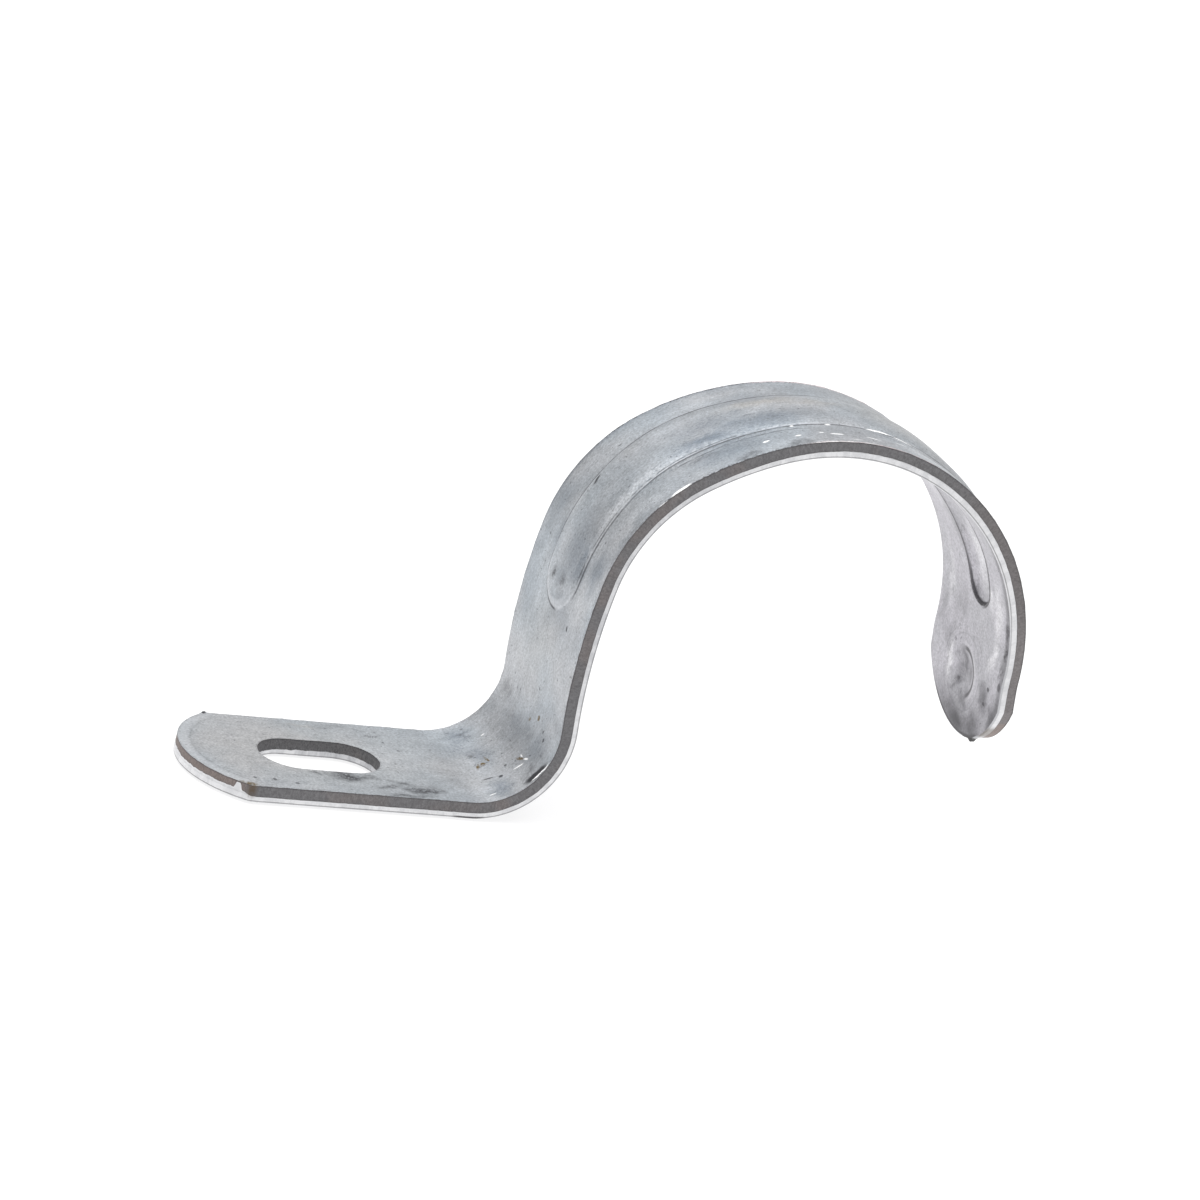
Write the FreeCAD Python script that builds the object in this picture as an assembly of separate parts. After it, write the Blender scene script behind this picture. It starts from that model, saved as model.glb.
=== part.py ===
import FreeCAD
import Part
import math
import os

# A one-hole conduit strap, pressed from one strip of zinc-coated steel sheet.
# Millimetres and degrees. The foot lies flat on the wall, the plane Z = 0, and the origin is
# the middle of its slot there. +X runs from the foot to the arch, +Y along the conduit that
# the arch holds, and +Z away from the wall.

# The strip. Both its ends are round, a little flatter than a full half circle: the radius is
# half the width and the end's flatness.
sheet_thickness = 1.9
strap_width = 20.0
foot_end_flatness = 1.4
toe_end_flatness = 0.5

# The foot, from the middle of its slot
foot_reach = 15.9           # out to the tip
foot_run = 14.9             # in to the start of the bend
slot_length = 13.8
slot_width = 8.15

# The strip's side line, stretch by stretch. Each radius is that of the hollow side.
foot_bend_angle = 94.5
foot_bend_radius = 8.3
riser_angle = 13.5
riser_radius = 71.2
shoulder_angle = 47.5
shoulder_radius = 18.2
flank_angle = 14.0
flank_radius = 37.25
clamp_angle = 110.0
conduit_radius = 24.15      # the clamping arc fits the conduit
toe_angle = 6.0
toe_radius = 9.1
toe_length = 8.9            # flat end, from the last bend to the tip

# The stiffening bead, raised on the outer face, and the groove under it
bead_width = 9.5
bead_height = 0.55
bead_shoulder = 1.7         # from its flat crest out to the crease
groove_width = 7.9
groove_depth = 0.5
groove_shoulder = 1.5
bead_start = 16.2           # first full section, past the end of the foot's bend
bead_stop = 12.0            # last full section, before the end of the clamping arc

# The round dimple in the toe, pressed from inside
dimple_from_tip = 7.0
dimple_width = 6.4
dimple_depth = 0.55
bump_width = 7.4
bump_height = 0.55

# The pressed metal is rooted this deep in the sheet, and cutters clear it by as much
root = 0.62 * sheet_thickness
half_sheet = sheet_thickness / 2


def bend(turn, radius):
    # positive turns towards the outer face, and the length is along the middle of the sheet
    return {"turn": turn, "length": math.radians(abs(turn)) * (radius + half_sheet)}


def straight(length):
    return {"turn": 0.0, "length": length}


def step(point, heading, stretch, share=1.0):
    # the chord of a share of a stretch leaves at the mean of its two headings
    length = stretch["length"] * share
    turn = math.radians(stretch["turn"]) * share
    chord = 2 * length / turn * math.sin(turn / 2) if turn else length
    along = heading + turn / 2
    return point + FreeCAD.Vector(math.cos(along), 0, math.sin(along)) * chord, heading + turn


def between(stretches, point, heading, start, stop):
    # the part of the strip between two lengths along it, with the place where it starts
    kept = []
    place = (point, heading)
    passed = 0.0
    for stretch in stretches:
        first = max(start - passed, 0.0) / stretch["length"]
        last = min(stop - passed, stretch["length"]) / stretch["length"]
        if first < last:
            if not kept:
                place = step(point, heading, stretch, first)
            share = last - first
            kept.append({"turn": stretch["turn"] * share, "length": stretch["length"] * share})
        point, heading = step(point, heading, stretch)
        passed += stretch["length"]
    return kept, place


def edges_along(stretches, point, heading, offset):
    # lines and arcs that follow the strip at an offset from its middle, outer face positive
    edges = []
    for stretch in stretches:
        middle = step(point, heading, stretch, 0.5)
        end = step(point, heading, stretch)
        a, b, c = [
            p + FreeCAD.Vector(-math.sin(h), 0, math.cos(h)) * offset
            for p, h in ((point, heading), middle, end)
        ]
        edges.append(Part.Arc(a, b, c).toShape() if stretch["turn"] else Part.LineSegment(a, c).toShape())
        point, heading = end
    return edges


def placed(shape, point, heading, offset=0.0):
    # local x runs along the strip, y across it and z out of its outer face
    moved = shape.copy()
    turned = FreeCAD.Rotation(FreeCAD.Vector(0, 1, 0), -math.degrees(heading))
    lift = turned.multVec(FreeCAD.Vector(0, 0, offset))
    moved.Placement = FreeCAD.Placement(point + lift, turned)
    return moved


def bent_sheet(stretches, point, heading):
    # the side outline, drawn out to both sides of the middle plane, so the lands beside the groove
    # are a face each
    outer = edges_along(stretches, point, heading, half_sheet)
    wall = edges_along(stretches, point, heading, -half_sheet)
    tips = [
        Part.LineSegment(outer[0].firstVertex().Point, wall[0].firstVertex().Point).toShape(),
        Part.LineSegment(outer[-1].lastVertex().Point, wall[-1].lastVertex().Point).toShape(),
    ]
    side = Part.Face(Part.Wire(Part.__sortEdges__(outer + wall + tips)))
    halves = [side.extrude(FreeCAD.Vector(0, reach, 0)) for reach in (-strap_width / 2, strap_width / 2)]
    return halves[0].fuse(halves[1])


def end_waste(flatness):
    # what a round punch leaves of the strip at a tip, which points along x
    radius = strap_width / 2 + flatness
    depth = 4 * sheet_thickness
    corner = FreeCAD.Vector(-radius, -strap_width, -depth / 2)
    block = Part.makeBox(2 * radius, 2 * strap_width, depth, corner)
    return block.cut(Part.makeCylinder(radius, depth, FreeCAD.Vector(-radius, 0, -depth / 2)))


def slot_cutter():
    # two half circles joined by straight sides
    radius = slot_width / 2
    half = slot_length / 2 - radius
    right = Part.Arc(
        FreeCAD.Vector(half, -radius, 0), FreeCAD.Vector(half + radius, 0, 0), FreeCAD.Vector(half, radius, 0)
    )
    left = Part.Arc(
        FreeCAD.Vector(-half, radius, 0), FreeCAD.Vector(-half - radius, 0, 0), FreeCAD.Vector(-half, -radius, 0)
    )
    top = Part.LineSegment(right.EndPoint, left.StartPoint)
    bottom = Part.LineSegment(left.EndPoint, right.StartPoint)
    outline = Part.Face(Part.Wire([e.toShape() for e in (right, top, left, bottom)]))
    outline.translate(FreeCAD.Vector(0, 0, -sheet_thickness))
    return outline.extrude(FreeCAD.Vector(0, 0, 3 * sheet_thickness))


def pressed_side(width, height, shoulder):
    # three points of the arc that leaves the crest a shoulder inside the crease, passes through the
    # crease at the sheet's face and ends at its root; a dimple's arc leaves from its middle
    radius = (shoulder ** 2 + height ** 2) / (2 * height)
    swing = math.acos(1 - (height + root) / radius)
    shares = (0.0, 0.5, 1.0)
    return [
        FreeCAD.Vector(
            0,
            width / 2 - shoulder + radius * math.sin(swing * s),
            height - radius * (1 - math.cos(swing * s)),
        )
        for s in shares
    ]


def turned(width, height, shoulder, turn):
    # half the pressed section, turned about the normal at its middle
    brow, flank, foot = pressed_side(width, height, shoulder)
    corners = [foot, FreeCAD.Vector(0, 0, foot.z), FreeCAD.Vector(0, 0, height)]
    if brow.y > 0:
        corners.append(brow)
    edges = [Part.LineSegment(a, b).toShape() for a, b in zip(corners, corners[1:])]
    edges.append(Part.Arc(brow, flank, foot).toShape())
    return Part.Face(Part.Wire(edges)).revolve(FreeCAD.Vector(), FreeCAD.Vector(0, 0, 1), turn)


def rib(width, height, shoulder, stretches, start, offset):
    # the pressed section carried along the strip, and turned half round at each end
    brow, flank, foot = pressed_side(width, height, shoulder)
    far_brow, far_flank, far_foot = [FreeCAD.Vector(0, -p.y, p.z) for p in (brow, flank, foot)]
    edges = [
        Part.Arc(far_foot, far_flank, far_brow).toShape(),
        Part.LineSegment(far_brow, brow).toShape(),
        Part.Arc(brow, flank, foot).toShape(),
        Part.LineSegment(foot, far_foot).toShape(),
    ]
    section = placed(Part.Wire(edges), *start, offset)
    spine = Part.Wire(edges_along(stretches, *start, offset))
    end = start
    for stretch in stretches:
        end = step(*end, stretch)
    body = spine.makePipeShell([section], True, True)
    caps = [
        placed(turned(width, height, shoulder, 180), *start, offset),
        placed(turned(width, height, shoulder, -180), *end, offset),
    ]
    return body.fuse(caps)


foot = foot_reach + foot_run
strip = [
    straight(foot),
    bend(foot_bend_angle, foot_bend_radius),
    bend(-riser_angle, riser_radius),
    bend(-shoulder_angle, shoulder_radius),
    bend(-flank_angle, flank_radius),
    bend(-clamp_angle, conduit_radius),
    bend(toe_angle, toe_radius),
    straight(toe_length),
]
foot_tip = (FreeCAD.Vector(-foot_reach, 0, half_sheet), 0.0)
whole = sum(stretch["length"] for stretch in strip)
toe_tip = foot_tip
for stretch in strip:
    toe_tip = step(*toe_tip, stretch)

strap = bent_sheet(strip, *foot_tip)
foot_waste = placed(end_waste(foot_end_flatness), foot_tip[0], math.pi)
toe_waste = placed(end_waste(toe_end_flatness), *toe_tip)
strap = strap.cut([foot_waste, toe_waste])
strap = strap.cut(slot_cutter())

# The bead stands between a set-in from the foot's bend and one from the end of the clamping arc
bead_from = strip[0]["length"] + strip[1]["length"] + bead_start
bead_to = whole - strip[7]["length"] - strip[6]["length"] - bead_stop
bead_strip, bead_place = between(strip, *foot_tip, bead_from, bead_to)
bead = rib(bead_width, bead_height, bead_shoulder, bead_strip, bead_place, half_sheet)
groove = rib(groove_width, groove_depth, groove_shoulder, bead_strip, bead_place, -half_sheet)
strap = strap.fuse(bead).cut(groove)

# The dimple's metal is pushed out of the toe's outer face
dimple_place = between(strip, *foot_tip, whole - dimple_from_tip, whole)[1]
bump = placed(turned(bump_width, bump_height, bump_width / 2, 360), *dimple_place, half_sheet)
dimple = placed(turned(dimple_width, dimple_depth, dimple_width / 2, 360), *dimple_place, -half_sheet)
strap = strap.fuse(bump).cut(dimple)

os.makedirs("parts", exist_ok=True)
strap.exportStep("parts/strap.step")

box = strap.BoundBox
print("solids", len(strap.Solids), "valid", strap.isValid(), "volume mm3", round(strap.Volume, 1))
print("box", [round(v, 2) for v in (box.XMin, box.YMin, box.ZMin, box.XMax, box.YMax, box.ZMax)])
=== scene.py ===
import bmesh
import bpy
import math
import numpy as np
from mathutils import Matrix, Vector


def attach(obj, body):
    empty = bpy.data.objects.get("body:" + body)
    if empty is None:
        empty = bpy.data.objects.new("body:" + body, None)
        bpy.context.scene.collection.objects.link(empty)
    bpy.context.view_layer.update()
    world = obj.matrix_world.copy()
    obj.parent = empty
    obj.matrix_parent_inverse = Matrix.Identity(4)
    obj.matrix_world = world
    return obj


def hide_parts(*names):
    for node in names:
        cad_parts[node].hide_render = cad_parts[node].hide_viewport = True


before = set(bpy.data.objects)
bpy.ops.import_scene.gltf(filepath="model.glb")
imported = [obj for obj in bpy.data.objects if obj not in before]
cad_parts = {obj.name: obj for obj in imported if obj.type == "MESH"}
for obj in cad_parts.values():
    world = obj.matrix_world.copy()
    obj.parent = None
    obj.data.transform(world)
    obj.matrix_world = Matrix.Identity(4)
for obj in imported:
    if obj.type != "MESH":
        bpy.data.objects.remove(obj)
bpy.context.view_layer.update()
print("frame loaded:", sorted(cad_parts))

# A conduit strap pressed from one strip of zinc-coated steel. Lengths here are millimetres of the flat
# strip: s along its middle, y across it and w through the sheet, outer face positive. The mesh is bent
# up from these and scaled to metres at the end.

strip = {
    "sheet": 1.9,
    "width": 20.0,
    "start": (-16.2, 0.95),      # x and z of the middle of the sheet at s = 0
    "turns": (0, 94.5, -13.5, -47.5, -14, -110, 6, 0),           # degrees, towards the outer face
    "radii": (0, 8.3, 71.2, 18.2, 37.25, 24.15, 9.1, 0),         # hollow side
    "flats": (31.1, 0, 0, 0, 0, 0, 0, 8.9),
    "footTip": 0.3,              # where the punched foot starts
    "footRadius": 11.9,          # its round end
    "toeRadius": 11.0,
    "farDroop": 0.32,            # the far land of the arch lies this much lower
    "droopAlong": (82, 93, 109, 117),    # it sets in between the first two and fades between the others
}

slot = {"middle": 16.2, "length": 13.8, "width": 8.15}

# Each pressed rib lists its creases across the strip at places along it, and how far in from each
# crease its side rises
bead = {
    "start": 61.2,               # first and last full section, the round ends go beyond
    "stop": 124.75,
    "along": (57, 62, 68, 74, 80, 84, 90, 97, 108, 116, 130),
    "near": (-4.0, -4.4, -4.8, -4.3, -4.0, -4.0, -4.3, -4.6, -4.8, -4.75, -4.75),
    "far": (4.4, 4.4, 4.5, 4.8, 5.5, 5.6, 5.0, 4.8, 4.6, 4.6, 4.6),
    "nearSide": (2.2, 2.6, 3.2, 3.4, 3.4, 3.4, 3.6, 4.0, 3.6, 2.2, 1.7),
    "farSide": (1.6, 1.4, 1.3, 1.3, 1.6, 2.0, 2.4, 2.4, 2.2, 1.8, 1.7),
    "height": (0.5, 0.5, 0.45, 0.42, 0.34, 0.3, 0.3, 0.32, 0.4, 0.55, 0.55),
    "crease": 0.02,              # how far the pressed edge is rounded
}

groove = {
    "start": 62.56,
    "stop": 127.85,
    "along": (57, 110, 116, 121, 126, 130),
    "near": (-3.95, -4.6, -5.1, -4.85, -4.4, -3.6),
    "far": (3.95, 3.95, 3.5, 2.6, 1.45, 1.6),
    "nearSide": (1.5, 1.5, 1.1, 0.8, 0.6, 0.5),
    "farSide": (1.5, 2.6, 4.0, 3.0, 1.2, 0.6),
    "height": (0.5, 0.5, 0.5, 0.5, 0.5, 0.5),
    "crease": 0.02,
}

dimple = {
    "middle": (139.7, 0.5),
    "width": 6.0,
    "depth": 0.55,
    "brow": 0.5,                 # its side starts this far outside it and ends this far inside
    "floor": 2.3,
    "bumpWidth": 7.4,
    "bumpHeight": 0.55,
    "bumpCrease": 0.15,
}

edge = {
    "cut": -0.13,                # w where the torn part of the cut edge ends on the arch
    "smoothBelow": 0.07,         # the smooth part starts this much lower
    "tornInset": 0.06,
    "tornRough": 0.03,
    "rollover": 0.16,
    "burr": 0.05,                # along the outer face, this high and that far in
    "burrReach": 0.12,
    # size, place and reach: raised at the foot's far corner, missing at its near corner and standing
    # off the toe's tip, all three fading inward
    "nib": (0.22, 5.6, 0.3),
    "notch": (0.16, 5.9, 0.22),
    "spur": (0.4, -4.0, 0.4),
    "inward": 0.15,
}

grid = {
    "rowStep": 0.36,
    "columnStep": 0.36,
    "joinAt": 25.0,              # rings round the slot up to here, rows across the strip beyond
    "rings": 22,
    "sideSteps": 56,             # along the foot's straight sides
    "endSteps": 68,              # round its end, at even angles
    "endShare": 0.92,            # of an arc whose half width is this share of its radius
    "toeBlend": 18.0,            # rows bend into the toe's round end over this length
    "tornRows": 9,               # down the cut edge
    "smoothRows": 5,
    "rollRows": 6,
}


def ragged(t, spacing, seed):
    # values between -1 and 1 that wander smoothly along t: random knots a spacing apart, joined by
    # a smoothed line
    knots = np.random.default_rng(seed).uniform(-1, 1, 4096)
    place = np.asarray(t) / spacing + 700
    low = np.floor(place).astype(int)
    part = place - low
    part = part * part * (3 - 2 * part)
    return knots[low % 4096] * (1 - part) + knots[(low + 1) % 4096] * part


def spread(start, stop, step, closer):
    # positions from start to stop about a step apart, with (middle, reach, times) places where they
    # stand closer: the running sum of the density 1 + times * exp(-(d / reach)^2) / step, read back
    fine = np.linspace(start, stop, 6000)
    density = np.ones_like(fine)
    for middle, reach, times in closer:
        density += times * np.exp(-((fine - middle) / reach) ** 2)
    total = np.concatenate(([0], np.cumsum((density[1:] + density[:-1]) / 2 * np.diff(fine) / step)))
    return np.interp(np.linspace(0, total[-1], int(round(total[-1])) + 1), total, fine)


turns = np.radians(strip["turns"])
half = strip["sheet"] / 2
lengths = np.array(strip["flats"]) + np.abs(turns) * (np.array(strip["radii"]) + half)
starts = np.concatenate(([0], np.cumsum(lengths)))
whole = starts[-1]


def advance(x, z, heading, bendRate, run):
    # along an arc of heading h + k r the chord is r sin(k r / 2) / (k r / 2) long and leaves at the
    # heading h + k r / 2
    chord = run * np.sinc(bendRate * run / 2 / math.pi)
    along = heading + bendRate * run / 2
    return x + chord * np.cos(along), z + chord * np.sin(along), heading + bendRate * run


joints = [(*strip["start"], 0.0)]
for turn, length in zip(turns, lengths):
    joints.append(advance(*joints[-1], turn / length, length))
joints = np.array(joints)


def stripLine(s):
    # x, z and heading of the middle of the sheet at length s
    part = np.clip(np.searchsorted(starts, s, side="right") - 1, 0, len(turns) - 1)
    x, z, heading = joints[part].T
    return advance(x, z, heading, (turns / lengths)[part], s - starts[part])


def ease(value, low, high):
    # 0 below low, 1 above high, and 3 t^2 - 2 t^3 between them
    t = np.clip((value - low) / (high - low), 0, 1)
    return t * t * (3 - 2 * t)


def endLine(y, inset, radius):
    # how far a round end stands back from its tip at y: R - sqrt((R - inset)^2 - y^2)
    return radius - np.sqrt((radius - inset) ** 2 - y ** 2)


def pressed(inside, side, height):
    # the side of a pressed form h high rises on an arc through its crease, r = (t^2 + h^2) / 2h, and
    # ends level at t inside it; at a inside it stands at h - r + sqrt(r^2 - (t - a)^2)
    radius = (side ** 2 + height ** 2) / (2 * height)
    return height - radius + np.sqrt(np.maximum(radius ** 2 - np.maximum(side - inside, 0) ** 2, 0))


def softly(height, crease):
    # max(height, 0) with its corner rounded: (h + sqrt(h^2 + c^2)) / 2
    return (height + np.sqrt(height ** 2 + crease ** 2)) / 2


def tabled(s, rib, name):
    # a rib's table read at s, its corners rounded: the mean of five readings 1.5 mm apart
    return sum(np.interp(s + d, rib["along"], rib[name]) for d in (-3, -1.5, 0, 1.5, 3)) / 5


def ribInside(s, y, rib):
    # distance in from the crease of a rib with round ends, and which share of the far side counts
    near = tabled(s, rib, "near")
    far = tabled(s, rib, "far")
    past = np.maximum(np.maximum(rib["start"] - s, s - rib["stop"]), 0)
    middle = (near + far) / 2
    return (far - near) / 2 - np.hypot(y - middle, past), ease(y - middle, -1.5, 1.5)


def ribHeight(s, y, rib):
    # the pressed height of a rib, whose side goes from the near width to the far one over its middle
    inside, farShare = ribInside(s, y, rib)
    nearSide = tabled(s, rib, "nearSide")
    farSide = tabled(s, rib, "farSide")
    height = tabled(s, rib, "height")
    return softly(pressed(inside, nearSide + (farSide - nearSide) * farShare, height), rib["crease"])


def lensInside(s, y, width):
    # distance in from the dimple's round crease: half its width less the distance from its middle
    return width / 2 - np.hypot(s - dimple["middle"][0], y - dimple["middle"][1])


def edgeDistance(s, y):
    # distance in from the nearest cut edge: the sides, the two round ends and the slot
    side = strip["width"] / 2 - np.abs(y)
    footMiddle = strip["footTip"] + strip["footRadius"]
    toeMiddle = whole - strip["toeRadius"]
    footEnd = np.where(s < footMiddle, strip["footRadius"] - np.hypot(s - footMiddle, y), 99)
    toeEnd = np.where(s > toeMiddle, strip["toeRadius"] - np.hypot(s - toeMiddle, y), 99)
    spine = slot["length"] / 2 - slot["width"] / 2
    fromSlot = np.hypot(np.maximum(np.abs(s - slot["middle"]) - spine, 0), y) - slot["width"] / 2
    return np.minimum(np.minimum(side, footEnd), np.minimum(toeEnd, fromSlot))


def raised(s, y, w):
    # the height added along the sheet's normal: bead and bump on the outer face, groove and dimple
    # cut into the wall face, a burr along the outer face's edges, and the droop of the far land
    outer = ribHeight(s, y, bead)
    bumpSide = dimple["bumpWidth"] / 2
    bump = pressed(lensInside(s, y, dimple["bumpWidth"]), bumpSide, dimple["bumpHeight"])
    outer += softly(bump, dimple["bumpCrease"])
    inner = ribHeight(s, y, groove)
    inner += dimple["depth"] * ease(lensInside(s, y, dimple["width"]), -dimple["brow"], dimple["floor"])
    burrSize = np.maximum(ragged(s + 2.3 * y, 0.9, 3) + 0.4 * ragged(s - 1.7 * y, 0.3, 4), 0)
    burr = edge["burr"] * burrSize * np.exp(-(edgeDistance(s, y) / edge["burrReach"]) ** 2)
    burr = burr * ease(whole - s, 0, 6)
    first, full, last, level = strip["droopAlong"]
    droop = strip["farDroop"] * ease(y, 1, 10) * ease(s, first, full) * ease(-s, -level, -last)
    return np.where(w > half - 1e-6, outer + burr, np.where(w < 1e-6 - half, inner, 0)) - droop


# Soft patches of painted shade and painted highlight, some of them dull or bright coating too, of
# warm-toned coating and smudges of dirt, as s, y, reach along, reach across, turn and strength
outerWearAndLight = {
    "shadeAndDull": (
        (42.3, 0.0, 4.6, 9.0, 0, 0.36), (41.8, -6.0, 4.0, 4.5, 0, 0.46),
        (35.0, 0.0, 4.0, 9.0, 0, 0.12), (42.2, 1.2, 2.2, 5.0, 0, 0.44),
        (57.4, -1.9, 4.5, 5.5, 0, 0.42), (56.0, 7.6, 5.0, 3.0, 0, 0.24),
        (64.0, -1.4, 7.5, 4.4, 2, 0.66), (61.2, -0.4, 3.2, 3.0, 0, 0.6),
        (77.5, 1.0, 4.0, 3.0, 0, 0.14), (67.5, 6.8, 7.0, 3.0, 0, 0.16),
        (69.0, -9.2, 5.0, 1.0, 0, 0.3), (63.6, -3.6, 5.6, 2.8, 0, 0.78),
        (33.0, 4.0, 4.5, 4.5, 0, 0.3), (89.0, -2.0, 10.5, 3.4, -3, 0.72),
        (83.5, 0.6, 7.5, 4.2, 0, 0.56), (79.0, -1.6, 3.5, 4.0, 0, 0.34),
        (83.5, -6.2, 9.5, 4.0, 0, 0.64), (95.5, -6.6, 7.0, 3.4, 0, 0.3),
        (89.0, 5.2, 8.0, 3.4, 0, 0.34), (80.0, 8.6, 7.0, 2.6, 0, 0.22),
        (22.0, -8.6, 9.0, 2.0, 0, 0.1), (12.0, 7.0, 8.0, 2.5, 0, 0.06),
        (96.0, 7.6, 7.0, 2.6, 0, 0.16), (88.0, 8.8, 6.0, 1.6, 0, 0.35),
        (64.0, -7.0, 4.6, 3.2, 0, 0.7), (82.2, -2.3, 6.5, 2.2, -3, 0.95),
        (63.8, 4.6, 4.2, 2.8, 0, 0.5), (35.4, -7.4, 2.2, 4.2, 0, 0.7), (35.8, 1.2, 2.8, 4.8, 0, 0.55),
        (35.2, 7.2, 3.0, 3.6, 0, 0.6), (86.5, -1.2, 6.0, 1.7, -2, 0.7), (65.5, 7.6, 5.0, 3.0, 0, 0.4),
    ),
    "warmed": (
        (90.0, 2.6, 7.0, 1.7, 0, 0.5), (96.0, 1.6, 7.0, 1.1, 0, 0.4), (15.0, 0.0, 26.0, 18.0, 0, 0.3),
        (16.5, 8.2, 4.0, 1.6, 0, 0.4), (106.5, 2.0, 10.0, 9.0, 0, 0.45),
        (52.0, 1.5, 8.0, 8.0, 0, 0.2),
    ),
    "highlightAndPale": (
        (70.5, -3.6, 8.5, 1.1, 7, 0.5), (99.0, 3.0, 7.0, 3.6, 0, 0.14),
        (106.5, 0.5, 7.5, 6.0, 0, 0.22), (73.0, 6.9, 6.0, 2.4, 0, 0.26),
        (72.5, -7.4, 4.0, 2.0, 0, 0.3), (33.3, -7.0, 3.5, 1.6, 0, 0.2),
        (106.5, -8.2, 5.5, 2.4, 0, 0.7), (99.5, 3.6, 8.0, 0.5, 0, 0.25),
        (24.0, 1.0, 10.0, 8.0, 0, 0.2), (105.0, -5.6, 4.0, 1.6, 0, 0.5),
    ),
    "smudges": (
        (17.9, -5.6, 3.2, 1.3, -12, 1.0), (17.6, -5.4, 2.8, 2.0, 0, 0.9),
        (20.2, -5.6, 2.2, 0.9, 0, 0.6), (14.3, -5.2, 1.2, 0.4, -5, 0.8),
        (26.3, -7.9, 3.2, 1.3, 10, 1.0), (26.8, -7.5, 2.4, 2.2, 0, 0.45),
        (24.5, -6.2, 2.4, 0.6, -24, 0.7), (22.8, -7.3, 2.8, 0.6, 18, 0.8),
        (24.1, -9.5, 4.2, 0.6, 2, 0.8), (24.3, 6.7, 1.2, 0.35, 22, 0.8),
        (35.5, 6.8, 1.2, 0.6, 0, 0.6), (36.2, 5.8, 1.3, 0.6, -50, 0.7),
        (34.7, 1.4, 1.0, 0.5, -24, 0.7), (42.6, 1.0, 1.6, 5.8, 3, 0.16),
        (42.7, -2.3, 1.4, 2.6, 0, 0.26), (44.0, 7.4, 1.5, 2.2, 0, 0.5),
        (38.5, -7.9, 0.9, 0.5, 0, 0.5), (39.5, -7.4, 0.6, 0.9, 30, 0.45),
        (41.8, -7.5, 0.8, 0.5, 0, 0.5), (60.4, 1.8, 1.2, 0.55, -35, 1.0),
        (60.4, -0.9, 1.0, 1.3, 20, 0.6), (59.8, 0.3, 0.8, 0.6, 0, 0.3),
        (87.0, 1.4, 0.9, 0.25, 0, 0.4), (87.7, -0.2, 1.2, 0.25, 0, 0.4),
        (90.0, -1.9, 1.0, 0.2, 0, 0.35), (80.5, -5.6, 3.0, 0.5, 3, 0.6),
        (107.7, -6.6, 2.2, 0.4, -4, 0.8), (85.0, -9.0, 3.0, 1.0, 0, 0.6),
        (21.0, -4.9, 1.6, 0.5, -8, 0.5), (90.8, -9.2, 3.4, 0.8, 0, 0.5),
        (20.5, 8.6, 4.0, 0.8, 0, 0.25),
    ),
}

wallWearAndLight = {
    "shadeAndDull": (
        (138.7, 1.1, 2.8, 2.2, 0, 0.62), (140.8, 1.5, 2.6, 1.3, 8, 0.6),
        (149.5, 0.0, 11.0, 15.0, 0, 1.0), (145.6, 0.0, 3.4, 6.5, 0, 1.0),
        (139.3, -0.7, 2.0, 1.6, 0, 0.5), (143.4, 2.0, 3.0, 3.4, 0, 0.35),
        (132.5, 4.0, 3.4, 3.0, 0, 0.25), (137.4, 5.0, 3.0, 2.4, 0, 0.3),
        (122.0, 2.6, 6.0, 1.7, -12, 0.3), (140.6, -5.6, 3.8, 2.8, 0, 0.8),
        (145.0, -3.6, 4.0, 5.0, 0, 0.9), (144.6, 1.5, 3.4, 4.0, 0, 0.7),
        (141.6, -8.8, 3.6, 2.6, 0, 0.8), (142.6, -0.6, 2.6, 2.4, 0, 0.7),
        (135.0, 8.0, 3.5, 1.6, 0, 0.3),
    ),
    "highlightAndPale": (
        (130.0, 6.9, 6.5, 1.0, -2, 0.4), (129.5, -7.0, 6.5, 1.9, 3, 0.75),
        (135.2, -6.4, 3.6, 1.3, 8, 0.8), (140.0, 4.1, 4.2, 1.0, 0, 0.8),
        (124.0, -1.8, 6.5, 2.8, 0, 0.8), (128.4, -5.0, 2.6, 1.6, 0, 0.6),
        (112.0, -5.0, 7.0, 4.0, 0, 0.4), (114.0, 6.5, 9.0, 5.0, 0, 0.4),
        (110.0, 8.0, 8.0, 4.0, 0, 0.5),
    ),
    "smudges": (
        (142.2, 2.2, 1.6, 0.5, 30, 0.5), (138.3, 1.0, 1.8, 0.7, 0, 0.35),
        (129.6, 0.9, 1.0, 1.2, 30, 0.55), (121.3, 1.1, 0.6, 0.35, 0, 0.8),
        (134.8, -0.4, 0.7, 0.3, 0, 0.6), (133.0, 3.0, 1.8, 0.4, 10, 0.25),
        (144.9, 3.0, 1.2, 2.4, 0, 0.4), (131.2, -9.6, 2.2, 0.8, 0, 0.9),
        (133.6, -9.4, 1.6, 0.7, 0, 1.0), (136.2, -9.0, 1.8, 0.8, 8, 0.6),
        (127.4, -9.4, 2.6, 0.6, 0, 0.35), (121.0, -9.4, 3.0, 0.7, 0, 0.45),
    ),
}


def blotches(s, y, spots, soft):
    # the strongest of a list of soft ellipses: strength * ease(1 - distance), where distance is 1 on
    # the ellipse's edge
    total = np.zeros_like(s)
    for along, across, reach, wide, turn, strength in spots:
        c, n = math.cos(math.radians(turn)), math.sin(math.radians(turn))
        ahead, aside = s - along, y - across
        away = np.hypot((ahead * c + aside * n) / reach, (aside * c - ahead * n) / wide)
        total = np.maximum(total, strength * ease(1 - away, 0, soft))
    return total


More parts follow.
